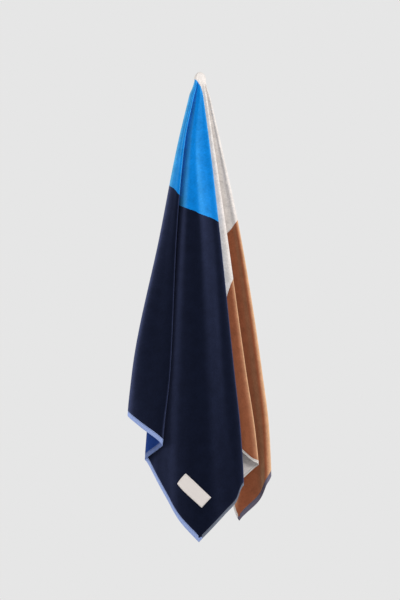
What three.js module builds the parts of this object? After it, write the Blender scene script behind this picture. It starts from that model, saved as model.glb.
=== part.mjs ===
// Beach towel hung from one point of a long edge.
//
// The flat towel is 1600 mm long and 900 mm deep. It hangs from a point on
// its upper long edge, 34 mm to the ecru side of the middle, and falls in a
// narrow drape of sharp pleats. Units are millimetres, +Z is up, the front
// faces -Y, and the origin is the top of the cloth where it hangs.
//
// A point of the cloth is known by its flat place: the angle of the straight
// line from the hang point to it (0 runs square to the long edge, minus is
// the navy end) and the length of that line. Each fold keeps one angle all
// the way down, and the line keeps its length when the towel hangs.

import * as THREE from 'three';

// Flat towel
const NAVY_END = 834;
const TAN_END = 766;
const DROP_SIDE = 900;
const PILE_THICKNESS = 2.5;
const HEM_THICKNESS = 1.8;
const END_HEM = 12;
const SIDE_HEM = 7;
const HEM_STEP = 1.2;
const CREST_THICKNESS = 1.0;
const FULL_THICKNESS_FROM = 260;

// Crest of cloth over the hang point
const CREST_RADIUS = 18;
const CREST_HALF_WIDTH = 15;
const CREST_RING = [
  { angle: -90, around: -95, depth: 25 },
  { angle: -76, around: -72, depth: 15 },
  { angle: -68, around: -64, depth: -1 },
  { angle: -63, around: -52, depth: -11 },
  { angle: -58, around: -38, depth: -14 },
  { angle: -54, around: -29, depth: -13 },
  { angle: -34, around: -6, depth: -9 },
  { angle: 26, around: 40, depth: 5 },
  { angle: 50, around: 72, depth: 16 },
  { angle: 90, around: 100, depth: 23 },
];
const PLEATS_FORM = [23, 74];

// Heights below the crest that the columns of FOLDS stand for
const ACROSS_LEVELS = [60, 180, 420, 780, 930, 1080, 1170];
const DEPTH_LEVELS = [60, 420, 900];
const LOWEST_SECTION = 42;

// Folds in the order in which they lie along the cloth. Angle is the flat
// angle in degrees, across the place to the right of the hang point and depth
// the place behind it. Turns are folds where the cloth doubles back: side
// tells which way the fold points. Roll is half the depth of its loop at the
// crest and at the hem, minus where the cloth comes forward, and spread is how
// far to the side the loop reaches there. The higher opening is, the nearer to
// the hem the loop opens.
const FOLDS = [
  {
    name: 'navy edge', kind: 'edge', angle: -90,
    across: [9, 28, 65, 130, 145, 156, 160], depth: [27, 47, 74],
  },
  {
    name: 'back sheet', kind: 'swell', angle: -77.5,
    across: [-8, -12, -22, -50, -66, -76, -80], depth: [26, 43, 66],
  },
  {
    name: 'left side', kind: 'turn', angle: -65.3, side: -1,
    across: [-27.5, -56, -103, -176, -189.5, -191, -191], depth: [2, 2, 6],
    roll: [-18, -20], spread: [5, 12], opening: 4,
  },
  {
    name: 'left panel', kind: 'swell', angle: -62.5,
    across: [-21, -46, -83, -134, -157, -162, -164], depth: [-16.5, -25, -24],
  },
  {
    name: 'front pleat', kind: 'turn', angle: -58.2, side: 1,
    across: [-15.5, -39.5, -61, -78, -94, -104, -106], depth: [-17.2, -28, -30],
    roll: [2.3, 10], spread: [2.6, 8], opening: 12,
  },
  {
    name: 'tucked pleat', kind: 'turn', angle: -54.5, side: -1,
    across: [-21, -45, -80, -122, -137, -147, -150], depth: [-10.3, -9, -5],
    roll: [1.8, 5], spread: [1.8, 5], opening: 4,
  },
  {
    name: 'flank', kind: 'swell', angle: -50.4,
    across: [-16, -40, -66, -92, -103, -108, -110], depth: [-8, -8, -12],
  },
  {
    name: 'left slope', kind: 'swell', angle: -47.8,
    across: [-12, -31, -51, -73, -80, -82, -82], depth: [-10.5, -24, -26],
  },
  {
    name: 'left ridge', kind: 'swell', angle: -45.2,
    across: [-8, -21, -34, -48, -54, -55, -51], depth: [-13, -37, -41],
  },
  {
    name: 'navy corner', kind: 'swell', angle: -42.82,
    across: [-5, -15, -11, -11, -12, -12, -6], depth: [-13, -39, -47],
  },
  {
    name: 'right ridge', kind: 'swell', angle: -41,
    across: [-2, -12, -1, 12, 18, 23, 30], depth: [-13, -38, -46],
  },
  {
    name: 'right slope', kind: 'swell', angle: -38.9,
    across: [1.5, -1, 19, 43, 51, 61, 68], depth: [-12, -26, -36],
  },
  {
    name: 'right foot', kind: 'swell', angle: -37,
    across: [3, 10, 35, 61, 74, 92, 98], depth: [-10.8, -18, -29],
  },
  {
    name: 'body right', kind: 'turn', angle: -34.1, side: 1,
    across: [7.8, 23.6, 50.9, 88.5, 104.5, 113, 114], depth: [-7.6, -12, -22],
    roll: [2, 3], spread: [2.4, 3], opening: 4,
  },
  {
    name: 'inner 1', kind: 'turn', angle: -19.2, side: -1,
    across: [-9, -23, -56, -104, -108, -112, -114], depth: [-4.5, 0, 1],
    roll: [1.8, 2.4], spread: [1.8, 3], opening: 4,
  },
  {
    name: 'inner 2', kind: 'turn', angle: -4.9, side: 1,
    across: [5, 18, 46, 86, 99, 105, 108], depth: [-0.9, -3, -8.5],
    roll: [1.8, 2.4], spread: [1.8, 3], opening: 4,
  },
  {
    name: 'inner 3', kind: 'turn', angle: 9.4, side: -1,
    across: [-7, -20, -52, -104, -117, -126, -130], depth: [2.7, 9.5, 16],
    roll: [1.8, 3], spread: [1.8, 4], opening: 4,
  },
  {
    name: 'side panel', kind: 'swell', angle: 24,
    across: [10, 22, 36, 66, 88, 98, 100], depth: [4.3, 6, 4],
  },
  {
    name: 'side pleat', kind: 'turn', angle: 29.9, side: 1,
    across: [16.6, 34.3, 69.5, 120, 143, 158, 165], depth: [6.1, 11, 15],
    roll: [1.8, 8], spread: [1.8, 14], opening: 0.9,
  },
  {
    name: 'inner 4', kind: 'turn', angle: 35.6, side: -1,
    across: [10, 15, 26, 46, 62, 71, 58], depth: [10.1, 17, 22],
    roll: [1.8, 3], spread: [1.8, 4], opening: 4,
  },
  {
    name: 'tan corner', kind: 'swell', angle: 40.4,
    across: [15, 34, 66, 104, 116, 112, 102], depth: [12, 27, 43],
  },
  {
    name: 'right panel', kind: 'swell', angle: 42.6,
    across: [19, 44, 86, 132, 148, 157, 153], depth: [12, 25, 37],
  },
  {
    name: 'right side', kind: 'turn', angle: 45.6, side: 1,
    across: [25.5, 53, 104.5, 161.7, 180, 187, 190], depth: [13.6, 28, 40],
    roll: [1.8, 16], spread: [1.8, 14], opening: 1,
  },
  {
    name: 'inner 5', kind: 'turn', angle: 60.5, side: -1,
    across: [1, -3, -14, -36, -40, -42, -42], depth: [17.1, 34, 48],
    roll: [1.8, 3], spread: [1.8, 4], opening: 4,
  },
  {
    name: 'inner 6', kind: 'turn', angle: 75.5, side: 1,
    across: [15, 40, 88, 152, 165, 175, 180], depth: [20.7, 40, 64],
    roll: [1.8, 3], spread: [1.8, 4], opening: 4,
  },
  {
    name: 'tan edge', kind: 'edge', angle: 90,
    across: [0, -8, -26, -42, -46, -50, -52], depth: [22.5, 38.5, 58],
  },
];

// A turn takes no more than this share of the angle to its neighbour
const TURN_SHARE = 0.42;

// Mesh density: lines across a turn, lines between two folds by the angle
// between them, and rings down the cloth as shares of its length
const TURN_LINES = [-1, -0.55, 0, 0.55, 1];
const WIDE_GAP = 3.9;
const LINES_IN_WIDE_GAP = [1 / 3, 2 / 3];
const LINES_IN_NARROW_GAP = [0.5];
const FIRST_RING = 5;
const RING_COUNT = 24;
const RING_SPREAD = 1.7;

// Least share of its length that a line drops below the crest, and the arcs
// used to find which way the cloth faces, over the crest and below it
const LEAST_DROP = 0.5;
const CREST_FACING_STEP = 1.6;
const FACING_STEP = 0.15;

// Sewn label. Its middle is placed by its distance from the navy end and the
// lower side, and it sits a few degrees askew.
const LABEL_LENGTH = 88;
const LABEL_WIDTH = 37;
const LABEL_THICKNESS = 0.8;
const LABEL_GAP = 0.5;
const LABEL_FROM_END = 87;
const LABEL_FROM_SIDE = 101;
const LABEL_ASKEW = 3;
const LABEL_CELLS = { along: 20, over: 8 };

const CENTRE = new THREE.Vector2(0, 0);
const radians = (degrees) => (degrees * Math.PI) / 180;

// Value at x of the smooth line through the points, straight beyond its ends,
// with no swing past them
function smoothLine(xs, ys, x) {
  const last = xs.length - 1;
  const rise = (i) => (ys[i + 1] - ys[i]) / (xs[i + 1] - xs[i]);
  if (x <= xs[0]) {
    return ys[0] + rise(0) * (x - xs[0]);
  }
  if (x >= xs[last]) {
    return ys[last] + rise(last - 1) * (x - xs[last]);
  }
  let k = 0;
  while (x >= xs[k + 1]) {
    k += 1;
  }
  const slope = (i) => {
    if (i === 0) {
      return rise(0);
    }
    if (i === last) {
      return rise(last - 1);
    }
    const before = rise(i - 1);
    const after = rise(i);
    if (before * after <= 0) {
      return 0;
    }
    const short = xs[i] - xs[i - 1];
    const long = xs[i + 1] - xs[i];
    const a = 2 * long + short;
    const b = long + 2 * short;
    return (a + b) / (a / before + b / after);
  };
  const width = xs[k + 1] - xs[k];
  const t = (x - xs[k]) / width;
  const u = 1 - t;
  return (1 + 2 * t) * u * u * ys[k]
    + t * u * u * slope(k) * width
    + t * t * (3 - 2 * t) * ys[k + 1]
    + t * t * (t - 1) * slope(k + 1) * width;
}

// Length of the flat line from the hang point to the edge of a rectangle that
// is the towel drawn in by the given hem widths
function reach(angle, endHem = 0, sideHem = 0) {
  const a = Math.abs(radians(angle));
  const end = (angle < 0 ? NAVY_END : TAN_END) - endHem;
  const side = DROP_SIDE - sideHem;
  return Math.min(side / Math.cos(a), end / Math.sin(a));
}

const gapToNeighbour = FOLDS.map((fold, i) => {
  const gaps = [FOLDS[i - 1], FOLDS[i + 1]]
    .filter((other) => other)
    .map((other) => Math.abs(other.angle - fold.angle));
  return Math.min(...gaps);
});

// Half depth and half width of the loop of a turn, which opens towards the hem
function loop(fold, height) {
  const share = Math.min(height / reach(fold.angle), 1) ** fold.opening;
  return {
    deep: THREE.MathUtils.lerp(...fold.roll, share),
    wide: THREE.MathUtils.lerp(...fold.spread, share),
  };
}

// Flat angle that the cloth of a turn takes up on either side of its middle
function turnAngle(index, height) {
  const { deep, wide } = loop(FOLDS[index], height);
  const arc = (Math.PI / 4) * (Math.abs(deep) + wide);
  const needed = THREE.MathUtils.radToDeg(arc / height);
  return Math.min(needed, gapToNeighbour[index] * TURN_SHARE);
}

// Smooth line of the cloth at one height below the crest
function section(height) {
  const angles = [];
  const across = [];
  const depth = [];
  FOLDS.forEach((fold, index) => {
    const x = smoothLine(ACROSS_LEVELS, fold.across, height);
    const y = smoothLine(DEPTH_LEVELS, fold.depth, height);
    if (fold.kind !== 'turn') {
      angles.push(fold.angle);
      across.push(x);
      depth.push(y);
      return;
    }
    const { deep, wide } = loop(fold, height);
    const half = turnAngle(index, height);
    angles.push(fold.angle - half, fold.angle, fold.angle + half);
    across.push(x - fold.side * wide, x, x - fold.side * wide);
    depth.push(y - deep, y, y + deep);
  });
  return (angle) => ({
    x: smoothLine(angles, across, angle),
    y: smoothLine(angles, depth, angle),
  });
}

// Place in space of the middle of the cloth. Each line runs over the crest
// ring, then down to its fold with its length kept.
function hang(angle, length) {
  const ringAngles = CREST_RING.map((row) => row.angle);
  const around = radians(smoothLine(ringAngles, CREST_RING.map((row) => row.around), angle));
  const ringDepth = smoothLine(ringAngles, CREST_RING.map((row) => row.depth), angle);
  const overCrest = (CREST_RADIUS * Math.PI) / 2;
  const turned = Math.min(length / CREST_RADIUS, Math.PI / 2);
  const ringX = CREST_HALF_WIDTH * Math.sin(around) * Math.sin(turned);
  const ringY = ringDepth * Math.sin(turned);
  const ringDrop = CREST_RADIUS * (1 - Math.cos(turned));
  const below = Math.max(length - overCrest, 0);
  const pleated = THREE.MathUtils.smoothstep(length, ...PLEATS_FORM);
  let drop = ringDrop + below;
  let x = ringX;
  let y = ringY;
  for (let pass = 0; pass < 2; pass += 1) {
    const place = section(Math.max(drop, LOWEST_SECTION))(angle);
    x = THREE.MathUtils.lerp(ringX, place.x, pleated);
    y = THREE.MathUtils.lerp(ringY, place.y, pleated);
    const aside = (x - ringX) ** 2 + (y - ringY) ** 2;
    drop = ringDrop + Math.sqrt(Math.max(below ** 2 - aside, (LEAST_DROP * below) ** 2));
  }
  return new THREE.Vector3(x, y, -drop);
}

// Outward direction of the front of the cloth: level below the crest, turning
// up over it
function facing(angle, length) {
  const pleated = THREE.MathUtils.smoothstep(length, ...PLEATS_FORM);
  const step = THREE.MathUtils.lerp(CREST_FACING_STEP, FACING_STEP, pleated);
  const turn = THREE.MathUtils.radToDeg(step / Math.max(length, CREST_RADIUS));
  const over = hang(angle + turn, length).sub(hang(angle - turn, length));
  const level = new THREE.Vector3(over.y, -over.x, 0).normalize();
  const tilt = Math.min(length / CREST_RADIUS, Math.PI / 2);
  return level.multiplyScalar(Math.sin(tilt)).setZ(Math.cos(tilt));
}

// Rings down the cloth as functions of the angle, with the thickness there
function ringTable() {
  const rings = [];
  for (let i = 0; i < RING_COUNT; i += 1) {
    const share = (i / (RING_COUNT - 1)) ** RING_SPREAD;
    const fullness = Math.min(1, (DROP_SIDE * share) / FULL_THICKNESS_FROM);
    const length = (angle) => {
      const last = reach(angle, END_HEM, SIDE_HEM);
      return FIRST_RING + (last - FIRST_RING) * share;
    };
    const thickness = THREE.MathUtils.lerp(CREST_THICKNESS, PILE_THICKNESS, fullness);
    rings.push({ length, thickness });
  }
  rings.push({
    length: (angle) => reach(angle, END_HEM - HEM_STEP, SIDE_HEM - HEM_STEP),
    thickness: HEM_THICKNESS,
  });
  rings.push({ length: (angle) => reach(angle), thickness: HEM_THICKNESS });
  return rings;
}

// Flat angles of the lines down the cloth where a ring crosses them
function lineAngles(ring) {
  const angles = [];
  FOLDS.forEach((fold, index) => {
    const half = (i) => {
      const other = FOLDS[i];
      return other.kind === 'turn' ? turnAngle(i, ring.length(other.angle)) : 0;
    };
    if (fold.kind === 'turn') {
      TURN_LINES.forEach((share) => angles.push(fold.angle + share * half(index)));
    } else {
      angles.push(fold.angle);
    }
    const next = FOLDS[index + 1];
    if (next === undefined) {
      return;
    }
    const from = fold.angle + half(index);
    const to = next.angle - half(index + 1);
    const wide = next.angle - fold.angle > WIDE_GAP;
    const shares = wide ? LINES_IN_WIDE_GAP : LINES_IN_NARROW_GAP;
    shares.forEach((share) => angles.push(from + (to - from) * share));
  });
  return angles;
}

// Closed sheet from two layers of the same grid, front first. A top point
// joins the first ring where the grid is a fan.
function closedSheet(front, back, top) {
  const rows = front.length;
  const columns = front[0].length;
  const count = rows * columns;
  const positions = [...front.flat(), ...back.flat()];
  if (top) {
    positions.push(top.front, top.back);
  }
  const at = (layer, row, column) => layer * count + row * columns + column;
  const index = [];
  const quad = (a, b, c, d) => index.push(a, b, c, a, c, d);
  for (let r = 0; r < rows - 1; r += 1) {
    for (let c = 0; c < columns - 1; c += 1) {
      quad(at(0, r, c), at(0, r + 1, c), at(0, r + 1, c + 1), at(0, r, c + 1));
      quad(at(1, r, c), at(1, r, c + 1), at(1, r + 1, c + 1), at(1, r + 1, c));
    }
  }
  for (let c = 0; c < columns - 1; c += 1) {
    const r = rows - 1;
    quad(at(0, r, c), at(1, r, c), at(1, r, c + 1), at(0, r, c + 1));
  }
  for (let r = 0; r < rows - 1; r += 1) {
    const c = columns - 1;
    quad(at(0, r, 0), at(1, r, 0), at(1, r + 1, 0), at(0, r + 1, 0));
    quad(at(0, r, c), at(0, r + 1, c), at(1, r + 1, c), at(1, r, c));
  }
  if (top) {
    const topFront = 2 * count;
    const topBack = topFront + 1;
    const c = columns - 1;
    for (let i = 0; i < c; i += 1) {
      index.push(topFront, at(0, 0, i), at(0, 0, i + 1));
      index.push(topBack, at(1, 0, i + 1), at(1, 0, i));
    }
    quad(topFront, topBack, at(1, 0, 0), at(0, 0, 0));
    quad(topFront, at(0, 0, c), at(1, 0, c), topBack);
  } else {
    for (let c = 0; c < columns - 1; c += 1) {
      quad(at(0, 0, c), at(0, 0, c + 1), at(1, 0, c + 1), at(1, 0, c));
    }
  }
  const geometry = new THREE.BufferGeometry();
  geometry.setAttribute(
    'position',
    new THREE.Float32BufferAttribute(positions.flatMap((p) => [p.x, p.y, p.z]), 3),
  );
  geometry.setIndex(index);
  geometry.computeVertexNormals();
  return geometry;
}

// Grid of the cloth: one row for each ring, with the flat places where its
// lines cross it, and the points there on the front and the back
function clothGrid() {
  return ringTable().map((ring) => {
    const angles = lineAngles(ring);
    const front = [];
    const back = [];
    angles.forEach((angle) => {
      const length = ring.length(angle);
      const middle = hang(angle, length);
      const out = facing(angle, length).multiplyScalar(ring.thickness / 2);
      front.push(middle.clone().add(out));
      back.push(middle.clone().sub(out));
    });
    return { angles, lengths: angles.map(ring.length), front, back };
  });
}

function towelCloth(grid) {
  const half = CREST_THICKNESS / 2;
  const top = {
    front: new THREE.Vector3(0, 0, half),
    back: new THREE.Vector3(0, 0, -half),
  };
  return closedSheet(grid.map((row) => row.front), grid.map((row) => row.back), top);
}

// Point on the front of the cloth's grid at a flat place
function onFront(grid, angle, length) {
  const cuts = grid.map((row) => {
    const c = row.angles.findIndex((other) => other > angle);
    const t = (angle - row.angles[c - 1]) / (row.angles[c] - row.angles[c - 1]);
    return {
      length: THREE.MathUtils.lerp(row.lengths[c - 1], row.lengths[c], t),
      point: row.front[c - 1].clone().lerp(row.front[c], t),
    };
  });
  const r = cuts.findIndex((cut) => cut.length > length);
  const above = cuts[r - 1];
  const below = cuts[r];
  return above.point.lerp(below.point, (length - above.length) / (below.length - above.length));
}

// Label: a small rectangle sewn on the front, its length along the navy end
function sewnLabel(grid) {
  const front = [];
  const back = [];
  for (let r = 0; r <= LABEL_CELLS.over; r += 1) {
    const frontRow = [];
    const backRow = [];
    for (let c = 0; c <= LABEL_CELLS.along; c += 1) {
      const over = (0.5 - r / LABEL_CELLS.over) * LABEL_WIDTH;
      const along = (c / LABEL_CELLS.along - 0.5) * LABEL_LENGTH;
      const place = new THREE.Vector2(over, along).rotateAround(CENTRE, radians(-LABEL_ASKEW));
      const fromMiddle = -(NAVY_END - LABEL_FROM_END) + place.x;
      const down = DROP_SIDE - LABEL_FROM_SIDE + place.y;
      const angle = THREE.MathUtils.radToDeg(Math.atan2(fromMiddle, down));
      const length = Math.hypot(fromMiddle, down);
      const cloth = onFront(grid, angle, length);
      const out = facing(angle, length);
      frontRow.push(cloth.clone().addScaledVector(out, LABEL_GAP + LABEL_THICKNESS));
      backRow.push(cloth.clone().addScaledVector(out, LABEL_GAP));
    }
    front.push(frontRow);
    back.push(backRow);
  }
  return closedSheet(front, back);
}

function named(name, geometry, material) {
  const mesh = new THREE.Mesh(geometry, material);
  mesh.name = name;
  return mesh;
}

const terry = new THREE.MeshStandardMaterial({ name: 'terry_cloth', color: 0x1a2036, roughness: 0.95 });
const woven = new THREE.MeshStandardMaterial({ name: 'woven_tape', color: 0xe6dfd6, roughness: 0.8 });

const grid = clothGrid();
const towel = new THREE.Group();
towel.name = 'beach_towel';
towel.add(named('towel_cloth', towelCloth(grid), terry));
towel.add(named('sewn_label', sewnLabel(grid), woven));

export default towel;
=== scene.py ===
"""Looks of a cotton beach towel that hangs from one point of a long edge.

The cloth is one thin sheet laid on the folds of its solid, with the same tables
as the part's source, and the sewn label lies on it. Tables are in millimetres
and degrees, and Blender is in metres.

A point of the cloth is known by its flat place: the angle of the straight line
from the hang point to it (0 runs square to the long edge, minus is the navy
end) and the length of that line.
"""

import logging
import math
from dataclasses import dataclass
from enum import Enum
from typing import Any

import bmesh
import bpy
import numpy as np
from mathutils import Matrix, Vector


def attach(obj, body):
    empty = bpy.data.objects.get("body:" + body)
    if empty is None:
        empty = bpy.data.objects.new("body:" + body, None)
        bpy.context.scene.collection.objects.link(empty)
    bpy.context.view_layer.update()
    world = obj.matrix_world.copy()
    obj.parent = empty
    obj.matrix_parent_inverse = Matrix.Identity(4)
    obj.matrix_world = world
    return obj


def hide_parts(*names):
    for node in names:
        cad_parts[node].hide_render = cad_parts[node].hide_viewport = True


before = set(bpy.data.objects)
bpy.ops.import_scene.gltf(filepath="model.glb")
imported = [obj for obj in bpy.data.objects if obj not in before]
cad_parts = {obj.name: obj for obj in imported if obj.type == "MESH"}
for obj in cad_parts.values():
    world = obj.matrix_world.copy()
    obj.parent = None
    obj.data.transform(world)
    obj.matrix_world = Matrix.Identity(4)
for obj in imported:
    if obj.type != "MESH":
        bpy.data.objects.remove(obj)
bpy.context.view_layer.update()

MM = 0.001
TINY = 1e-9
FULL_SPAN = (0.0, 1.0)
# A wave texture's bands are this far apart at a scale of 1.
BAND_PITCH = math.pi / 10
FLAT_LAYER = "flat"
FLAT_MEASURES = ("along", "over", "thickness")

Yarns = tuple[str, str, str, str]

logging.basicConfig(level=logging.INFO, format="%(message)s")
log = logging.getLogger("towel")


class FoldKind(Enum):
    """How the cloth runs past a fold."""

    EDGE = "edge of the cloth"
    SWELL = "passes with a soft bend"
    TURN = "doubles back in a loop"


@dataclass(frozen=True)
class Fold:
    """One fold from the crest to the hem, at one flat angle all the way.

    Across is the place to the right of the hang point and depth the place
    behind it, at the levels that Drape names. Side tells which way a turn
    points. Roll is half the depth of its loop at the crest and at the hem,
    minus where the cloth comes forward, and spread is how far to the side the
    loop reaches there. The higher opening is, the nearer to the hem it opens.
    """

    name: str
    kind: FoldKind
    angle: float
    across: tuple[float, ...]
    depth: tuple[float, ...]
    side: int = 0
    roll: tuple[float, float] = (0.0, 0.0)
    spread: tuple[float, float] = (0.0, 0.0)
    opening: float = 4


FOLDS = (
    Fold("navy edge", FoldKind.EDGE, -90, (9, 28, 65, 130, 145, 156, 160), (27, 47, 74)),
    Fold(
        "back sheet", FoldKind.SWELL, -77.5,
        (-8, -12, -22, -50, -66, -76, -80), (26, 43, 66),
    ),
    Fold(
        "left side", FoldKind.TURN, -65.3,
        (-27.5, -56, -103, -176, -189.5, -191, -191), (2, 2, 6), -1, (-18, -20), (5, 12),
    ),
    Fold(
        "left panel", FoldKind.SWELL, -62.5,
        (-21, -46, -83, -134, -157, -162, -164), (-16.5, -25, -24),
    ),
    Fold(
        "front pleat", FoldKind.TURN, -58.2,
        (-15.5, -39.5, -61, -78, -94, -104, -106), (-17.2, -28, -30), 1, (2.3, 10), (2.6, 8), 12,
    ),
    Fold(
        "tucked pleat", FoldKind.TURN, -54.5,
        (-21, -45, -80, -122, -137, -147, -150), (-10.3, -9, -5), -1, (1.8, 5), (1.8, 5),
    ),
    Fold("flank", FoldKind.SWELL, -50.4, (-16, -40, -66, -92, -103, -108, -110), (-8, -8, -12)),
    Fold(
        "left slope", FoldKind.SWELL, -47.8,
        (-12, -31, -51, -73, -80, -82, -82), (-10.5, -24, -26),
    ),
    Fold(
        "left ridge", FoldKind.SWELL, -45.2,
        (-8, -21, -34, -48, -54, -55, -51), (-13, -37, -41),
    ),
    Fold(
        "navy corner", FoldKind.SWELL, -42.82,
        (-5, -15, -11, -11, -12, -12, -6), (-13, -39, -47),
    ),
    Fold("right ridge", FoldKind.SWELL, -41, (-2, -12, -1, 12, 18, 23, 30), (-13, -38, -46)),
    Fold("right slope", FoldKind.SWELL, -38.9, (1.5, -1, 19, 43, 51, 61, 68), (-12, -26, -36)),
    Fold("right foot", FoldKind.SWELL, -37, (3, 10, 35, 61, 74, 92, 98), (-10.8, -18, -29)),
    Fold(
        "body right", FoldKind.TURN, -34.1,
        (7.8, 23.6, 50.9, 88.5, 104.5, 113, 114), (-7.6, -12, -22), 1, (2, 3), (2.4, 3),
    ),
    Fold(
        "inner 1", FoldKind.TURN, -19.2,
        (-9, -23, -56, -104, -108, -112, -114), (-4.5, 0, 1), -1, (1.8, 2.4), (1.8, 3),
    ),
    Fold(
        "inner 2", FoldKind.TURN, -4.9,
        (5, 18, 46, 86, 99, 105, 108), (-0.9, -3, -8.5), 1, (1.8, 2.4), (1.8, 3),
    ),
    Fold(
        "inner 3", FoldKind.TURN, 9.4,
        (-7, -20, -52, -104, -117, -126, -130), (2.7, 9.5, 16), -1, (1.8, 3), (1.8, 4),
    ),
    Fold("side panel", FoldKind.SWELL, 24, (10, 22, 36, 66, 88, 98, 100), (4.3, 6, 4)),
    Fold(
        "side pleat", FoldKind.TURN, 29.9,
        (16.6, 34.3, 69.5, 120, 143, 158, 165), (6.1, 11, 15), 1, (1.8, 8), (1.8, 14), 0.9,
    ),
    Fold(
        "inner 4", FoldKind.TURN, 35.6,
        (10, 15, 26, 46, 62, 71, 58), (10.1, 17, 22), -1, (1.8, 3), (1.8, 4),
    ),
    Fold("tan corner", FoldKind.SWELL, 40.4, (15, 34, 66, 104, 116, 112, 102), (12, 27, 43)),
    Fold("right panel", FoldKind.SWELL, 42.6, (19, 44, 86, 132, 148, 157, 153), (12, 25, 37)),
    Fold(
        "right side", FoldKind.TURN, 45.6,
        (25.5, 53, 104.5, 161.7, 180, 187, 190), (13.6, 28, 40), 1, (1.8, 16), (1.8, 14), 1,
    ),
    Fold(
        "inner 5", FoldKind.TURN, 60.5,
        (1, -3, -14, -36, -40, -42, -42), (17.1, 34, 48), -1, (1.8, 3), (1.8, 4),
    ),
    Fold(
        "inner 6", FoldKind.TURN, 75.5,
        (15, 40, 88, 152, 165, 175, 180), (20.7, 40, 64), 1, (1.8, 3), (1.8, 4),
    ),
    Fold("tan edge", FoldKind.EDGE, 90, (0, -8, -26, -42, -46, -50, -52), (22.5, 38.5, 58)),
)


def smooth_line(xs: np.ndarray, ys: np.ndarray, x: np.ndarray) -> np.ndarray:
    """Reads smooth lines with no swing past their points, straight beyond them.

    Args:
        xs: Places of the points, a row for each line, or one row for all.
        ys: Values at the points, in rows as xs.
        x: The place to read on each line.

    Returns:
        The value on each line.
    """
    shape = (len(x), np.shape(xs)[-1])
    xs = np.broadcast_to(xs, shape)
    ys = np.broadcast_to(ys, shape)
    step = np.diff(xs, axis=1)
    rise = np.diff(ys, axis=1) / step
    before, after = rise[:, :-1], rise[:, 1:]
    a = 2 * step[:, 1:] + step[:, :-1]
    b = step[:, 1:] + 2 * step[:, :-1]
    with np.errstate(divide="ignore", invalid="ignore"):
        inner = np.where(before * after <= 0, 0, (a + b) / (a / before + b / after))
    slope = np.concatenate([rise[:, :1], inner, rise[:, -1:]], axis=1)
    k = np.clip((x[:, None] >= xs).sum(axis=1) - 1, 0, shape[1] - 2)

    def at(table: np.ndarray, place: np.ndarray) -> np.ndarray:
        """Each row's value at its own place."""
        return np.take_along_axis(table, place[:, None], axis=1)[:, 0]

    width = at(step, k)
    inside = np.clip(x, xs[:, 0], xs[:, -1])
    t = (inside - at(xs, k)) / width
    u = 1 - t
    curve = (
        (1 + 2 * t) * u * u * at(ys, k)
        + t * u * u * at(slope, k) * width
        + t * t * (3 - 2 * t) * at(ys, k + 1)
        + t * t * (t - 1) * at(slope, k + 1) * width
    )
    end_slope = np.where(x < inside, slope[:, 0], slope[:, -1])
    return curve + end_slope * (x - inside)


def smooth_step(low: float, high: float, x: np.ndarray) -> np.ndarray:
    """0 below low, 1 above high and a soft rise between."""
    t = np.clip((x - low) / (high - low), 0, 1)
    return t * t * (3 - 2 * t)


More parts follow.
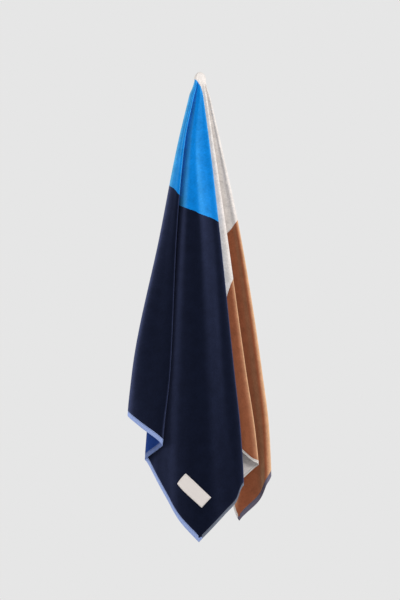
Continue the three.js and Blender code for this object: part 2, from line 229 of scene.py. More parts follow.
@dataclass(frozen=True)
class Drape:
    """The way the flat towel hangs: flat places in, places in space out.

    The crest is a small arch, and its table gives where each flat angle leaves
    it. Between the two lengths of pleats_form the arch gives way to the folds.
    The levels are heights below the crest that the columns of FOLDS stand for.
    """

    navy_end: float = 834
    tan_end: float = 766
    drop_side: float = 900
    crest_radius: float = 18
    crest_half_width: float = 15
    crest_angles: tuple[float, ...] = (-90, -76, -68, -63, -58, -54, -34, 26, 50, 90)
    crest_around: tuple[float, ...] = (-95, -72, -64, -52, -38, -29, -6, 40, 72, 100)
    crest_depth: tuple[float, ...] = (25, 15, -1, -11, -14, -13, -9, 5, 16, 23)
    pleats_form: tuple[float, float] = (23, 74)
    across_levels: tuple[float, ...] = (60, 180, 420, 780, 930, 1080, 1170)
    depth_levels: tuple[float, ...] = (60, 420, 900)
    highest_section: float = 42
    turn_share: float = 0.42
    least_drop: float = 0.5
    drop_rounds: int = 2
    facing_arc: float = 0.6

    def reach(self, angle: np.ndarray, end_hem: float = 0, side_hem: float = 0) -> np.ndarray:
        """Finds the length of flat lines to the towel's edge, or inside its hems.

        Args:
            angle: Flat angles of the lines.
            end_hem: Width of hem left out at the short ends.
            side_hem: Width of hem left out at the far long side.

        Returns:
            The length of each line.
        """
        a = np.radians(np.abs(angle))
        end = np.where(angle < 0, self.navy_end, self.tan_end) - end_hem
        side = self.drop_side - side_hem
        to_side = side / np.maximum(np.cos(a), TINY)
        to_end = end / np.maximum(np.sin(a), TINY)
        return np.minimum(to_side, to_end)

    def loop(self, fold: Fold, height: np.ndarray) -> tuple[np.ndarray, np.ndarray]:
        """Finds the size of a turn's loop, which opens towards the hem.

        Args:
            fold: The turn.
            height: How far below the crest each cut through it is.

        Returns:
            Half its depth and half its width.
        """
        share = np.minimum(height / self.reach(np.array(fold.angle)), 1) ** fold.opening
        deep, wide = (top + (low - top) * share for top, low in (fold.roll, fold.spread))
        return deep, wide

    def turn_angle(self, index: int, height: np.ndarray) -> np.ndarray:
        """Finds the flat angle that a turn takes up on either side of its middle.

        Args:
            index: Number of the turn in FOLDS.
            height: How far below the crest each cut through it is.

        Returns:
            The angle on each cut, which leaves room for the folds beside it.
        """
        fold = FOLDS[index]
        deep, wide = self.loop(fold, height)
        needed = np.degrees(math.pi / 4 * (np.abs(deep) + wide) / height)
        near = [FOLDS[i] for i in (index - 1, index + 1) if 0 <= i < len(FOLDS)]
        gap = min(abs(other.angle - fold.angle) for other in near)
        return np.minimum(needed, gap * self.turn_share)

    def section(self, height: np.ndarray, angle: np.ndarray) -> tuple[np.ndarray, np.ndarray]:
        """Finds where the cloth runs on level cuts through the drape.

        Args:
            height: How far below the crest each cut is.
            angle: The flat angle looked for on each cut.

        Returns:
            The places across and in depth.
        """
        angles, across, depth = [], [], []
        levels, depth_levels = np.array(self.across_levels), np.array(self.depth_levels)
        for index, fold in enumerate(FOLDS):
            x = smooth_line(levels, np.array(fold.across), height)
            y = smooth_line(depth_levels, np.array(fold.depth), height)
            if fold.kind is not FoldKind.TURN:
                angles.append(np.full_like(height, fold.angle))
                across.append(x)
                depth.append(y)
                continue
            deep, wide = self.loop(fold, height)
            half = self.turn_angle(index, height)
            angles += [fold.angle - half, np.full_like(height, fold.angle), fold.angle + half]
            across += [x - fold.side * wide, x, x - fold.side * wide]
            depth += [y - deep, y, y + deep]
        knots = np.stack(angles, axis=1)
        return (
            smooth_line(knots, np.stack(across, axis=1), angle),
            smooth_line(knots, np.stack(depth, axis=1), angle),
        )

    def hang(self, angle: np.ndarray, length: np.ndarray) -> np.ndarray:
        """Hangs flat places over the crest and down, with their length kept.

        Args:
            angle: Flat angles.
            length: Flat lengths from the hang point.

        Returns:
            Places of the middle of the cloth, in rows of three.
        """
        rows = np.array(self.crest_angles)
        around = np.radians(smooth_line(rows, np.array(self.crest_around), angle))
        ring_depth = smooth_line(rows, np.array(self.crest_depth), angle)
        radius = self.crest_radius
        turned = np.minimum(length / radius, math.pi / 2)
        ring_x = self.crest_half_width * np.sin(around) * np.sin(turned)
        ring_y = ring_depth * np.sin(turned)
        ring_drop = radius * (1 - np.cos(turned))
        below = np.maximum(length - radius * math.pi / 2, 0)
        pleated = smooth_step(*self.pleats_form, length)
        drop = ring_drop + below
        for _ in range(self.drop_rounds):
            across, depth = self.section(np.maximum(drop, self.highest_section), angle)
            x = ring_x + (across - ring_x) * pleated
            y = ring_y + (depth - ring_y) * pleated
            aside = (x - ring_x) ** 2 + (y - ring_y) ** 2
            least = (self.least_drop * below) ** 2
            drop = ring_drop + np.sqrt(np.maximum(below**2 - aside, least))
        return np.stack([x, y, -drop], axis=1)

    def facing(self, angle: np.ndarray, length: np.ndarray) -> np.ndarray:
        """Outward direction of the front of the cloth, square to it.

        Args:
            angle: Flat angles.
            length: Flat lengths from the hang point.

        Returns:
            Directions of length one, in rows of three.
        """
        arc = self.facing_arc
        turn = np.degrees(arc / np.maximum(length, self.crest_radius))
        over = self.hang(angle + turn, length) - self.hang(angle - turn, length)
        down = self.hang(angle, length + arc) - self.hang(angle, np.maximum(length - arc, 0))
        out = np.cross(down, over)
        size = np.linalg.norm(out, axis=1, keepdims=True)
        return out / np.maximum(size, TINY)


def linear(hex_colour: str) -> tuple[float, float, float, float]:
    """Turns an sRGB colour into a linear one.

    Args:
        hex_colour: The colour as # and six hex digits.

    Returns:
        Red, green, blue and alpha.
    """
    parts = [int(hex_colour[i : i + 2], 16) / 255 for i in (1, 3, 5)]
    light = [c / 12.92 if c <= 0.04045 else ((c + 0.055) / 1.055) ** 2.4 for c in parts]
    return (*light, 1.0)


def add_node(tree: Any, kind: str, inputs: dict[Any, Any] | None = None, **settings: Any) -> Any:
    """Adds one node to a material or world.

    Args:
        tree: The node tree.
        kind: Blender's name for the kind of node.
        inputs: For each input, by name or number, its value or the socket that feeds it.
        settings: The node's own settings.

    Returns:
        The node.
    """
    made = tree.nodes.new(kind)
    for name, value in settings.items():
        setattr(made, name, value)
    for key, value in (inputs or {}).items():
        if isinstance(value, bpy.types.NodeSocket):
            tree.links.new(value, made.inputs[key])
        else:
            made.inputs[key].default_value = value
    return made


def calculate(tree: Any, operation: str, *values: Any) -> Any:
    """Adds one sum to a material.

    Args:
        tree: The node tree.
        operation: Blender's name for the operation.
        values: What it works on, each a number or the socket that feeds it.

    Returns:
        The socket of the result.
    """
    inputs = dict(enumerate(values))
    return add_node(tree, "ShaderNodeMath", inputs, operation=operation).outputs[0]


def respan(tree: Any, value: Any, span: tuple[float, float], onto: tuple[float, float]) -> Any:
    """Adds a change of range to a material or world.

    Args:
        tree: The node tree.
        value: Socket with the value.
        span: The range that goes in. The value is held inside it.
        onto: The range that comes out.

    Returns:
        The socket of the result.
    """
    inputs = {0: value, 1: span[0], 2: span[1], 3: onto[0], 4: onto[1]}
    return add_node(tree, "ShaderNodeMapRange", inputs).outputs[0]


def scaled(tree: Any, vector: Any, factor: Any) -> Any:
    """Socket with a colour or a place times a factor."""
    inputs = {0: vector, "Scale": factor}
    return add_node(tree, "ShaderNodeVectorMath", inputs, operation="SCALE").outputs[0]


def new_material(name: str) -> tuple[Any, Any, Any]:
    """Starts a material.

    Args:
        name: Its name.

    Returns:
        The material, its node tree and its shader.
    """
    material = bpy.data.materials.new(name)
    material.use_nodes = True
    tree = material.node_tree
    return material, tree, tree.nodes["Principled BSDF"]


def finish_shader(
    tree: Any, shader: Any, colour: Any, bump: Any, settings: dict[str, float]
) -> None:
    """Gives a shader its colour and its relief, and sets its other values.

    Args:
        tree: The node tree.
        shader: The shader.
        colour: Socket with the colour.
        bump: Socket with the bumped normal.
        settings: Values that are the same all over, by the name of the input.
    """
    tree.links.new(colour, shader.inputs["Base Color"])
    tree.links.new(bump, shader.inputs["Normal"])
    for name, value in settings.items():
        shader.inputs[name].default_value = value


@dataclass(frozen=True)
class ColourBlocks:
    """The four blocks of colour along the towel, from the navy end to the tan end.

    The three borders are places along the flat towel, on the long edge that it
    hangs from. The last one leans, and the first is drawn aside past some way
    down, because the body's cloth is pulled askew there. A border follows the
    threads, so it wanders by a part of a millimetre.
    """

    borders: tuple[float, float, float] = (-284, -33, 300)
    tan_lean: float = -0.065
    pull: float = 0.47
    pull_from: float = 211
    pull_to: float = 520
    ends: tuple[float, float] = (-834, 766)
    thread_scale: float = 0.7
    thread_wander: float = 2.0

    def share(self, tree: Any, place: Any) -> Any:
        """Adds the way along the towel to a material, with the borders straightened.

        Args:
            tree: The node tree.
            place: Socket with the flat place in millimetres.

        Returns:
            Socket that goes from 0 at the navy end to 1 at the tan end.
        """
        parts = add_node(tree, "ShaderNodeSeparateXYZ", {0: place}).outputs
        furthest = (self.pull_to - self.pull_from) * self.pull
        pulled = respan(tree, parts[1], (self.pull_from, self.pull_to), (0.0, furthest))
        leaned = calculate(tree, "MULTIPLY", parts[1], self.tan_lean)
        half = calculate(tree, "GREATER_THAN", parts[0], 0.0)
        aside = add_node(
            tree, "ShaderNodeMix", {0: half, 2: pulled, 3: leaned}, data_type="FLOAT",
        ).outputs[0]
        threads = add_node(
            tree, "ShaderNodeTexNoise",
            {"Vector": place, "Scale": self.thread_scale, "Detail": 0.0},
        ).outputs[0]
        wander = calculate(tree, "MULTIPLY_ADD", threads, self.thread_wander, aside)
        along = calculate(tree, "SUBTRACT", parts[0], wander)
        return respan(tree, along, self.ends, FULL_SPAN)

    def paint(self, tree: Any, share: Any, colours: Yarns) -> Any:
        """Adds the colours of the four blocks to a material.

        Args:
            tree: The node tree.
            share: Socket with the way along the towel.
            colours: The colours from the navy end to the tan end.

        Returns:
            The colour socket.
        """
        ramp = add_node(tree, "ShaderNodeValToRGB", {0: share})
        blocks = ramp.color_ramp
        blocks.interpolation = "CONSTANT"
        first, last = self.ends
        starts = [0.0] + [(border - first) / (last - first) for border in self.borders]
        blocks.elements[1].position = starts[1]
        for start in starts[2:]:
            blocks.elements.new(start)
        for element, colour in zip(blocks.elements, colours):
            element.color = linear(colour)
        return ramp.outputs[0]


def flat_place(tree: Any, layer: str) -> Any:
    """Socket with a piece's flat place, read from its own map, in millimetres."""
    uv = add_node(tree, "ShaderNodeUVMap", uv_map=layer).outputs[0]
    return scaled(tree, uv, 1 / MM)


@dataclass(frozen=True)
class Stitches:
    """Lockstitches: short dashes of thread along a line.

    The thread, really 0.4 mm thick, is drawn about twice as thick so that it shows.
    """

    length: float = 3.4
    gap: float = 0.9
    thread: float = 0.9

    def row(self, tree: Any, off_line: Any, along: Any) -> Any:
        """Adds a row of stitches to a material.

        Args:
            tree: The node tree.
            off_line: Socket with the distance from the line, in millimetres.
            along: Socket with the way along the line, in millimetres.

        Returns:
            Socket that is 1 on the thread and 0 beside it.
        """
        near = calculate(tree, "COMPARE", off_line, 0.0, self.thread / 2)
        swing = calculate(tree, "PINGPONG", along, (self.length + self.gap) / 2)
        dash = calculate(tree, "GREATER_THAN", swing, self.gap / 2)
        return calculate(tree, "MULTIPLY", near, dash)


def distance_from(tree: Any, value: Any, middle: float, half: float) -> Any:
    """Adds to a material how far a value is outside a span.

    Args:
        tree: The node tree.
        value: Socket with the value.
        middle: Middle of the span.
        half: Half the span.

    Returns:
        Socket with the distance, which is minus inside the span.
    """
    shifted = calculate(tree, "SUBTRACT", value, middle)
    apart = calculate(tree, "ABSOLUTE", shifted)
    return calculate(tree, "SUBTRACT", apart, half)


class Seam(Enum):
    """The two pairs of seams: axis of the flat place, middle and half their span."""

    ENDS = (0, -34.0, 790.0)
    SIDES = (1, 450.0, 445.5)


@dataclass(frozen=True)
class CutPile:
    """Cotton velour: loops sheared to an even nap.

    The pale rims are painted sheen: the colour is mixed towards paler tip colours where
    the surface is seen at a grazing angle, so folds get painted pale rims and darker
    valleys. Brushed patches of nap show lighter or darker. The nap's
    clumps, really about 2 mm wide, are drawn at 5 mm so that they show.
    """

    blocks: ColourBlocks = ColourBlocks()
    yarns: Yarns = ("#0f1425", "#067dd3", "#dbd4cf", "#8c5036")
    # Painted sheen: paler colours that folds take where they are seen at a grazing angle.
    painted_sheen_colours: Yarns = ("#454d70", "#58b0e0", "#dad3ce", "#e4bc94")
    painted_sheen_reach: float = 0.62
    noise_span: tuple[float, float] = (0.3, 0.7)
    nap_clump: float = 5
    nap_height: float = 0.5
    nap_light: tuple[float, float] = (0.82, 1.18)
    brushed_patch: float = 26
    patch_light: tuple[float, float] = (0.88, 1.12)
    roughness: float = 0.95
    specular: float = 0.05
    sheen: float = 0.12
    sheen_roughness: float = 0.3

    def material(self) -> Any:
        """Makes the finish.

        Returns:
            The material.
        """
        material, tree, shader = new_material("cotton_velour_sheared")
        place = flat_place(tree, FLAT_LAYER)
        share = self.blocks.share(tree, place)
        nap = add_node(
            tree, "ShaderNodeTexNoise",
            {"Vector": place, "Scale": 1 / self.nap_clump, "Detail": 4.0, "Roughness": 0.8},
        ).outputs[0]
        bump = add_node(
            tree, "ShaderNodeBump",
            {"Height": nap, "Distance": self.nap_height * MM, "Strength": 0.5},
        ).outputs[0]
        # Painted sheen: the colour is mixed towards the paler rim colours as the surface turns
        # away from the view.
        grazing = add_node(
            tree, "ShaderNodeLayerWeight", {"Blend": self.painted_sheen_reach, "Normal": bump},
        ).outputs["Facing"]
        colour = add_node(
            tree, "ShaderNodeMix",
            {0: grazing, 6: self.blocks.paint(tree, share, self.yarns),
             7: self.blocks.paint(tree, share, self.painted_sheen_colours)},
            data_type="RGBA",
        ).outputs[2]
        patch = add_node(
            tree, "ShaderNodeTexNoise",
            {"Vector": place, "Scale": 1 / self.brushed_patch, "Detail": 3.0, "Roughness": 0.55},
        ).outputs[0]
        nap_light = respan(tree, nap, self.noise_span, self.nap_light)
        patch_light = respan(tree, patch, self.noise_span, self.patch_light)
        light = calculate(tree, "MULTIPLY", nap_light, patch_light)
        toned = scaled(tree, colour, light)
        finish_shader(tree, shader, toned, bump, {
            "Roughness": self.roughness,
            "Specular IOR Level": self.specular,
            "Sheen Weight": self.sheen,
            "Sheen Roughness": self.sheen_roughness,
        })
        return material


@dataclass(frozen=True)
class LoopPile:
    """Cotton terry, the reverse: uncut loops in rows.

    Loops shade themselves, so this side is duller than the velour and shows
    fine ribs. The blocks have the colour of the other warp. The rows of loops,
    really about 2 mm apart, are drawn at 3.2 mm so that they show.
    """

    blocks: ColourBlocks = ColourBlocks()
    yarns: Yarns = ("#183f8c", "#161c38", "#8a5233", "#efe7e4")
    rib: float = 3.2
    loop: float = 2.4
    loop_height: float = 1.2
    loop_share: float = 0.8
    depth_span: tuple[float, float] = (-0.4, 0.9)
    depth_light: tuple[float, float] = (0.7, 1.15)
    roughness: float = 1.0
    specular: float = 0.15
    sheen: float = 0.12

    def material(self) -> Any:
        """Makes the finish.

        Returns:
            The material.
        """
        material, tree, shader = new_material("cotton_terry_loops")
        place = flat_place(tree, FLAT_LAYER)
        colour = self.blocks.paint(tree, self.blocks.share(tree, place), self.yarns)
        ribs = add_node(
            tree, "ShaderNodeTexWave",
            {"Vector": place, "Scale": BAND_PITCH / self.rib, "Distortion": 1.2,
             "Detail": 1.0, "Detail Scale": 3.0},
            wave_type="BANDS", bands_direction="X",
        ).outputs[1]
        loops = add_node(
            tree, "ShaderNodeTexVoronoi", {"Vector": place, "Scale": 1 / self.loop},
        ).outputs[0]
        depth = calculate(tree, "MULTIPLY_ADD", loops, -self.loop_share, ribs)
        light = respan(tree, depth, self.depth_span, self.depth_light)
        toned = scaled(tree, colour, light)
        bump = add_node(
            tree, "ShaderNodeBump",
            {"Height": depth, "Distance": self.loop_height * MM, "Strength": 0.8},
        ).outputs[0]
        finish_shader(tree, shader, toned, bump, {
            "Roughness": self.roughness,
            "Specular IOR Level": self.specular,
            "Sheen Weight": self.sheen,
        })
        return material


@dataclass(frozen=True)
class HemWeave:
    """Flat-woven cotton hem, turned under and lockstitched, with no pile.

    A tight plain weave of two yarns, so it is smoother and paler than the pile,
    with a row of stitches sunk into it. Its yarns, really about 0.5 mm apart,
    are drawn at 1.4 mm so that they show.
    """

    name: str
    yarns: Yarns
    seam: Seam
    stitches: Stitches = Stitches()
    blocks: ColourBlocks = ColourBlocks()
    yarn: float = 1.4
    weave_span: tuple[float, float] = (0.0, 0.8)
    weave_light: tuple[float, float] = (0.62, 1.08)
    weave_height: float = 0.4
    stitch_shade: float = 0.4
    stitch_depth: float = 2.0
    roughness: float = 0.8
    specular: float = 0.25

    def material(self) -> Any:
        """Makes the finish.

        Returns:
            The material.
        """
        material, tree, shader = new_material(self.name)
        place = flat_place(tree, FLAT_LAYER)
        colour = self.blocks.paint(tree, self.blocks.share(tree, place), self.yarns)
        warp, weft = (
            add_node(
                tree, "ShaderNodeTexWave",
                {"Vector": place, "Scale": BAND_PITCH / self.yarn, "Distortion": 0.6},
                wave_type="BANDS", bands_direction=direction,
            ).outputs[1]
            for direction in ("X", "Y")
        )
        weave = calculate(tree, "MULTIPLY", warp, weft)
        light = respan(tree, weave, self.weave_span, self.weave_light)
        axis, middle, half = self.seam.value
        parts = add_node(tree, "ShaderNodeSeparateXYZ", {0: place}).outputs
        off_line = distance_from(tree, parts[axis], middle, half)
        stitched = self.stitches.row(tree, off_line, parts[1 - axis])
        sunk = calculate(tree, "MULTIPLY_ADD", stitched, -self.stitch_shade, light)
        toned = scaled(tree, colour, sunk)
        height = calculate(tree, "MULTIPLY_ADD", stitched, -self.stitch_depth, weave)
        bump = add_node(
            tree, "ShaderNodeBump",
            {"Height": height, "Distance": self.weave_height * MM, "Strength": 0.6},
        ).outputs[0]
        finish_shader(tree, shader, toned, bump, {
            "Roughness": self.roughness,
            "Specular IOR Level": self.specular,
        })
        return material


@dataclass(frozen=True)
class LabelTape:
    """Cream polyester tape, woven as fine satin, with its edges sewn down.

    Smooth and a little bright beside the pile, with a faint line of stitches
    inside its border. It is bare. Its ribs, really about 0.4 mm apart, are
    drawn at 1.1 mm so that they show.
    """

    size: tuple[float, float]
    satin: str = "#efe8e4"
    rib_shade: str = "#ddd4cf"
    sewing: str = "#b3a8a1"
    rib: float = 1.1
    rib_height: float = 0.15
    stitches: Stitches = Stitches(length=2.4, gap=0.8, thread=0.8)
    stitch_depth: float = 2.0
    seam_inside: float = 2.2
    roughness: float = 0.6

    def material(self) -> Any:
        """Makes the finish.

        Returns:
            The material.
        """
        material, tree, shader = new_material("polyester_tape_satin")
        place = flat_place(tree, FLAT_LAYER)
        ribs = add_node(
            tree, "ShaderNodeTexWave",
            {"Vector": place, "Scale": BAND_PITCH / self.rib, "Distortion": 0.4},
            wave_type="BANDS", bands_direction="X",
        ).outputs[1]
        tape = add_node(
            tree, "ShaderNodeMix",
            {0: ribs, 6: linear(self.rib_shade), 7: linear(self.satin)}, data_type="RGBA",
        ).outputs[2]
        parts = add_node(tree, "ShaderNodeSeparateXYZ", {0: place}).outputs
        past = [
            distance_from(tree, part, 0.0, size / 2 - self.seam_inside)
            for part, size in zip(parts, self.size)
        ]
        off_line = calculate(tree, "MAXIMUM", past[0], past[1])
        along = calculate(tree, "ADD", parts[0], parts[1])
        stitched = self.stitches.row(tree, off_line, along)
        colour = add_node(
            tree, "ShaderNodeMix", {0: stitched, 6: tape, 7: linear(self.sewing)},
            data_type="RGBA",
        ).outputs[2]
        height = calculate(tree, "MULTIPLY_ADD", stitched, -self.stitch_depth, ribs)
        bump = add_node(
            tree, "ShaderNodeBump",
            {"Height": height, "Distance": self.rib_height * MM, "Strength": 0.5},
        ).outputs[0]
        finish_shader(tree, shader, colour, bump, {"Roughness": self.roughness})
        return material


def add_sheet(name: str, bm: Any, flat: np.ndarray, materials: list[Any]) -> Any:
    """Makes an object of a finished bmesh, with its flat map and its materials.

    Args:
        name: Name of the object.
        bm: The bmesh, which is freed.
        flat: Flat place of each vertex, in metres.
        materials: Materials in the order of their slots.

    Returns:
        The object, linked to the scene.
    """
    mesh = bpy.data.meshes.new(name)
    bm.to_mesh(mesh)
    bm.free()
    corners = np.empty(len(mesh.loops), dtype=np.int32)
    mesh.loops.foreach_get("vertex_index", corners)
    mesh.uv_layers.new(name=FLAT_LAYER).data.foreach_set("uv", flat[corners].ravel())
    mesh.polygons.foreach_set("use_smooth", np.ones(len(mesh.polygons), dtype=bool))
    for material in materials:
        mesh.materials.append(material)
    sheet = bpy.data.objects.new(name, mesh)
    bpy.context.scene.collection.objects.link(sheet)
    return sheet


class Stretch(Enum):
    """Stretches of the cloth: the finish of the front and that of the back."""

    PILE = ("pile", "loops")
    NAVY_HEM = ("navy_hem", "navy_hem_back")
    TAN_HEM = ("tan_hem", "tan_hem")
    SIDE_HEM = ("side_hem", "side_hem")

    def slot(self) -> int:
        """Number of the front's material slot. The back's is the next one."""
        return 2 * list(Stretch).index(self)


@dataclass
class Towel:
    """The towel: one sheet with cut pile, loops and its four hems.

    Finishes are the materials by the names that Stretch gives them. The cloth
    is thinner over the crest, where it is drawn tight, and at its hems, whose
    outermost edge is thinner again. The grid's lines are closer together where
    the folds are seen from the front. The near long side's hem starts a little
    way from the hang point, where all lines meet.
    """

    finishes: dict[str, Any]
    drape: Drape = Drape()
    pile_thickness: float = 2.5
    hem_thickness: float = 1.8
    crest_thickness: float = 1.0
    full_thickness_from: float = 260
    end_hem: float = 12
    side_hem: float = 7
    hem_step: float = 1.2
    hem_rings: tuple[float, ...] = (1, 0.7, 0.4, 0.12, 0)
    edge_thinness: float = 0.6
    edge_tolerance: float = 0.01
    near_hem_angle: float = 3
    no_hem_within: float = 1
    rings: int = 150
    ring_spread: float = 1.35
    turn_lines: tuple[float, ...] = (-1, -0.75, -0.45, -0.15, 0.15, 0.45, 0.75, 1)
    seen: tuple[tuple[float, float], ...] = ((-66, -33), (9, 46))
    seen_line: float = 0.45
    hidden_line: float = 1.6

    def ring_table(self) -> list[tuple[float, float, float, float]]:
        """Finds the rings down the cloth.

        Returns:
            For each ring the share of the length inside the hems, the widths of
            end and side hem left outside it, and the thickness of the cloth.
        """
        table = []
        for i in range(self.rings):
            share = (i / (self.rings - 1)) ** self.ring_spread
            full = min(1, self.drape.drop_side * share / self.full_thickness_from)
            thick = self.crest_thickness + (self.pile_thickness - self.crest_thickness) * full
            table.append((share, self.end_hem, self.side_hem, thick))
        inner_end = self.end_hem - self.hem_step
        inner_side = self.side_hem - self.hem_step
        for left in self.hem_rings:
            thick = self.hem_thickness * (self.edge_thinness if left == 0 else 1)
            table.append((1, inner_end * left, inner_side * left, thick))
        return table

    def lines(self, length: np.ndarray) -> np.ndarray:
        """Finds the flat angles where a ring crosses the lines down the cloth.

        Args:
            length: Length of the ring at each fold.

        Returns:
            The angles, from the navy edge to the tan edge.
        """
        angles = []
        halves = [
            float(self.drape.turn_angle(i, length[i : i + 1])[0])
            if fold.kind is FoldKind.TURN else 0.0
            for i, fold in enumerate(FOLDS)
        ]
        for i in (0, -1):
            across_hem = math.degrees(math.asin(self.side_hem / length[i]))
            halves[i] = min(across_hem, self.near_hem_angle)
        for i, fold in enumerate(FOLDS):
            if i + 1 == len(FOLDS):
                angles += [fold.angle - halves[i], fold.angle]
                break
            if fold.kind is FoldKind.TURN:
                angles += [fold.angle + share * halves[i] for share in self.turn_lines]
            elif fold.kind is FoldKind.EDGE:
                angles += [fold.angle, fold.angle + halves[i]]
            else:
                angles.append(fold.angle)
            other = FOLDS[i + 1]
            middle = (fold.angle + other.angle) / 2
            seen = any(low < middle < high for low, high in self.seen)
            spacing = self.seen_line if seen else self.hidden_line
            count = max(1, round((other.angle - fold.angle) / spacing))
            start = fold.angle + halves[i]
            stop = other.angle - halves[i + 1]
            angles += list(np.linspace(start, stop, count + 1)[1:-1])
        return np.array(angles)

    def rows(self) -> tuple[np.ndarray, np.ndarray, np.ndarray]:
        """Finds the flat places of the grid, a row for each ring.

        Returns:
            The angles and the lengths, and the thickness of each row.
        """
        fold_angles = np.array([fold.angle for fold in FOLDS], dtype=float)
        angles, lengths, thickness = [], [], []
        for share, end_hem, side_hem, thick in self.ring_table():
            at_folds = self.drape.reach(fold_angles, end_hem, side_hem) * share
            angles.append(self.lines(np.maximum(at_folds, self.drape.crest_radius)))
            lengths.append(self.drape.reach(angles[-1], end_hem, side_hem) * share)
            thickness.append(thick)
        return np.array(angles), np.array(lengths), np.array(thickness)

    def build(self) -> Any:
        """Builds the sheet.

        Returns:
            The object.
        """
        angles, lengths, thickness = self.rows()
        rows, columns = angles.shape
        bm = bmesh.new()
        bmesh.ops.create_grid(bm, x_segments=columns - 1, y_segments=rows - 1, size=0.5)
        along, over, thick = (bm.verts.layers.float.new(name) for name in FLAT_MEASURES)
        spots = np.array([vert.co for vert in bm.verts])
        column = np.rint((spots[:, 0] + 0.5) * (columns - 1)).astype(int)
        row = np.rint((0.5 - spots[:, 1]) * (rows - 1)).astype(int)
        angle, length = angles[row, column], lengths[row, column]
        places = self.drape.hang(angle, length) * MM
        turn = np.radians(angle)
        measures = (length * np.sin(turn), length * np.cos(turn), thickness[row])
        for vert, place, *measured in zip(bm.verts, places, *measures):
            vert.co = place
            vert[along], vert[over], vert[thick] = measured
        crest = [vert for vert, first in zip(bm.verts, row == 0) if first]
        bmesh.ops.pointmerge(bm, verts=crest, merge_co=crest[0].co)
        self.mark_hems(bm, along, over)
        flat = np.array([(vert[along], vert[over]) for vert in bm.verts]) * MM
        thicknesses = np.array([vert[thick] for vert in bm.verts])
        near = np.abs([vert[over] for vert in bm.verts]) < self.edge_tolerance
        edge = self.edge_thinness * self.hem_thickness
        thicknesses[near] = np.minimum(thicknesses[near], edge)
        sheet = add_sheet("towel", bm, flat, self.slots())
        self.thicken(sheet, thicknesses)
        return sheet

    def stretch(self, x: float, y: float) -> Stretch:
        """Tells which stretch of the cloth a flat place lies on.

        Args:
            x: Place along the towel from the hang point.
            y: Distance from the near long side.

        Returns:
            The stretch.
        """
        half_step = self.hem_step / 2
        if x < -self.drape.navy_end + self.end_hem - half_step:
            return Stretch.NAVY_HEM
        if x > self.drape.tan_end - self.end_hem + half_step:
            return Stretch.TAN_HEM
        if y > self.drape.drop_side - self.side_hem + half_step:
            return Stretch.SIDE_HEM
        slope = math.tan(math.radians(self.near_hem_angle))
        low = abs(x) > self.no_hem_within and y / abs(x) < slope
        return Stretch.SIDE_HEM if low and y < self.side_hem else Stretch.PILE

    def mark_hems(self, bm: Any, along: Any, over: Any) -> None:
        """Gives each face the material of its stretch.

        Args:
            bm: The bmesh of the sheet.
            along: Layer with the flat place along the towel.
            over: Layer with the distance from the near long side.
        """
        for face in bm.faces:
            x = sum(vert[along] for vert in face.verts) / len(face.verts)
            y = sum(vert[over] for vert in face.verts) / len(face.verts)
            face.material_index = self.stretch(x, y).slot()

    def slots(self) -> list[Any]:
        """Materials of the stretches, front and back in turn."""
        return [self.finishes[name] for stretch in Stretch for name in stretch.value]

    def thicken(self, sheet: Any, thickness: np.ndarray) -> None:
        """Gives the sheet its thickness, on both sides of its middle.

        Args:
            sheet: The object.
            thickness: Thickness at each vertex, in millimetres.
        """
        group = sheet.vertex_groups.new(name="thickness")
        for thick in np.unique(thickness):
            where = np.flatnonzero(thickness == thick).tolist()
            group.add(where, float(thick) / self.pile_thickness, "REPLACE")
        solid = sheet.modifiers.new("thickness", "SOLIDIFY")
        solid.thickness = self.pile_thickness * MM
        solid.offset = 0
        solid.vertex_group = group.name
        solid.material_offset = 1


@dataclass
class Label:
    """The woven label near the navy corner."""

    drape: Drape = Drape()
    length: float = 88
    width: float = 37
    thickness: float = 0.8
    above_cloth: float = 1.9
    from_end: float = 87
    from_side: float = 101
    askew: float = 3
    cells: tuple[int, int] = (48, 20)

    def build(self, finish: Any) -> Any:
        """Builds the label.

        Args:
            finish: Its material.

        Returns:
            The object.
        """
        bm = bmesh.new()
        across, up = self.cells
        bmesh.ops.create_grid(bm, x_segments=across, y_segments=up, size=0.5)
        spots = np.array([vert.co for vert in bm.verts])
        along = spots[:, 0] * self.length
        over = spots[:, 1] * self.width
        turn = math.radians(self.askew)
        aside = over * math.cos(turn) + along * math.sin(turn)
        down = along * math.cos(turn) - over * math.sin(turn)
        from_middle = -(self.drape.navy_end - self.from_end) + aside
        below = self.drape.drop_side - self.from_side + down
        angle = np.degrees(np.arctan2(from_middle, below))
        length = np.hypot(from_middle, below)
        places = self.drape.hang(angle, length)
        places += self.drape.facing(angle, length) * self.above_cloth
        for vert, place in zip(bm.verts, places * MM):
            vert.co = place
        flat = np.stack([along, over], axis=1) * MM
        label = add_sheet("label", bm, flat, [finish])
        solid = label.modifiers.new("thickness", "SOLIDIFY")
        solid.thickness = self.thickness * MM
        solid.offset = 0
        return label


@dataclass(frozen=True)
class SoftLight:
    """A soft square light: its name, place, side in metres and power in watts."""

    name: str
    place: tuple[float, float, float]
    size: float
    power: float


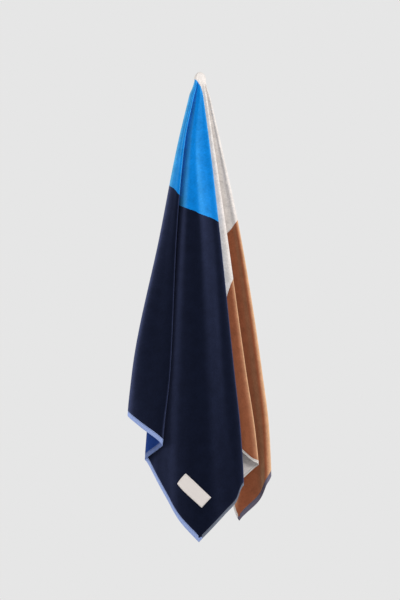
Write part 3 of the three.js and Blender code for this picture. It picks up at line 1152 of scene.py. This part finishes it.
@dataclass
class Studio:
    """Camera, lights, pale surroundings and floor."""

    camera_height: float = -0.591
    camera_distance: float = 8.65
    lens: float = 200
    sensor: float = 36
    furthest_seen: float = 100
    lights: tuple[SoftLight, ...] = (
        SoftLight("key", (2.2, -2.0, 0.9), 1.0, 64),
        SoftLight("left side", (-2.3, -0.3, -0.5), 1.6, 34),
        SoftLight("right side", (2.3, 0.2, -0.5), 1.6, 22),
    )
    surround_colour: str = "#e6e6e6"
    ambient: float = 0.58
    floor_height: float = -1.86
    floor_radius: float = 1.6
    floor_sides: int = 96
    floor_colour: str = "#dededc"
    floor_grain: float = 80
    floor_roughness: tuple[float, float] = (0.75, 0.9)

    def add_camera(self) -> None:
        """Adds the camera, level and square to the front."""
        data = bpy.data.cameras.new("camera")
        data.lens = self.lens
        data.sensor_width = self.sensor
        data.clip_end = self.furthest_seen
        camera = bpy.data.objects.new("camera", data)
        camera.location = (0, -self.camera_distance, self.camera_height)
        camera.rotation_euler = (math.radians(90), 0, 0)
        bpy.context.scene.collection.objects.link(camera)
        bpy.context.scene.camera = camera

    def add_light(self, plan: SoftLight) -> None:
        """Adds one light, which looks at the middle of the towel.

        Args:
            plan: The light.
        """
        data = bpy.data.lights.new(plan.name, "AREA")
        data.shape = "SQUARE"
        data.size = plan.size
        data.energy = plan.power
        light = bpy.data.objects.new(plan.name, data)
        light.location = plan.place
        towards = Vector((0, 0, self.camera_height)) - light.location
        light.rotation_euler = towards.to_track_quat("-Z", "Y").to_euler()
        bpy.context.scene.collection.objects.link(light)

    def add_surroundings(self) -> None:
        """Adds pale surroundings that light the towel less than they show."""
        world = bpy.data.worlds.new("studio")
        world.use_nodes = True
        tree = world.node_tree
        surround = tree.nodes["Background"]
        seen = add_node(tree, "ShaderNodeLightPath").outputs["Is Camera Ray"]
        strength = respan(tree, seen, FULL_SPAN, (self.ambient, 1.0))
        surround.inputs[0].default_value = linear(self.surround_colour)
        tree.links.new(strength, surround.inputs[1])
        bpy.context.scene.world = world
        bpy.context.scene.view_settings.view_transform = "Standard"

    def add_floor(self) -> Any:
        """Adds a round floor of matt paint, a little uneven in its gloss.

        Returns:
            The floor.
        """
        bm = bmesh.new()
        bmesh.ops.create_circle(
            bm, cap_ends=True, segments=self.floor_sides, radius=self.floor_radius,
        )
        bmesh.ops.translate(bm, verts=bm.verts, vec=(0, 0, self.floor_height))
        mesh = bpy.data.meshes.new("floor")
        bm.to_mesh(mesh)
        bm.free()
        material, tree, shader = new_material("painted_floor_matt")
        place = add_node(tree, "ShaderNodeTexCoord").outputs["Object"]
        grain = add_node(
            tree, "ShaderNodeTexNoise",
            {"Vector": place, "Scale": 1 / (self.floor_grain * MM), "Detail": 4.0},
        ).outputs[0]
        rough = respan(tree, grain, FULL_SPAN, self.floor_roughness)
        tree.links.new(rough, shader.inputs["Roughness"])
        shader.inputs["Base Color"].default_value = linear(self.floor_colour)
        mesh.materials.append(material)
        floor = bpy.data.objects.new("floor", mesh)
        bpy.context.scene.collection.objects.link(floor)
        return floor

    def build(self) -> Any:
        """Builds the studio.

        Returns:
            Its floor.
        """
        self.add_camera()
        for plan in self.lights:
            self.add_light(plan)
        self.add_surroundings()
        return self.add_floor()


def cloth_finishes() -> dict[str, Any]:
    """Makes the finishes of the towel.

    Returns:
        The materials by the names that Stretch gives them.
    """
    blue, ecru, tan = "#a9c1ea", "#efe9e5", "#eee7e2"
    ends, sides = Seam.ENDS, Seam.SIDES
    weaves = {
        "navy_hem": HemWeave("cotton_hem_periwinkle", ("#a9bff7", blue, ecru, tan), ends),
        "navy_hem_back": HemWeave("cotton_hem_indigo", ("#7083b8", blue, ecru, tan), ends),
        "tan_hem": HemWeave("cotton_hem_mauve", ("#9db2e6", blue, ecru, "#736d80"), ends),
        "side_hem": HemWeave("cotton_selvedge", ("#7f8798", blue, ecru, tan), sides),
    }
    finishes = {"pile": CutPile().material(), "loops": LoopPile().material()}
    return finishes | {name: weave.material() for name, weave in weaves.items()}


def main() -> None:
    """Builds the scene piece by piece, and reports each."""
    studio = Studio()
    studio.build()
    log.info("studio: floor at %.2f m", studio.floor_height)

    towel = Towel(finishes=cloth_finishes()).build()
    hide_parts("towel_cloth")
    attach(towel, "root")
    log.info("towel: %d faces", len(towel.data.polygons))

    plan = Label()
    label = plan.build(LabelTape((plan.length, plan.width)).material())
    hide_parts("sewn_label")
    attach(label, "root")
    log.info("label: %d faces", len(label.data.polygons))


if __name__ == "__main__":
    main()
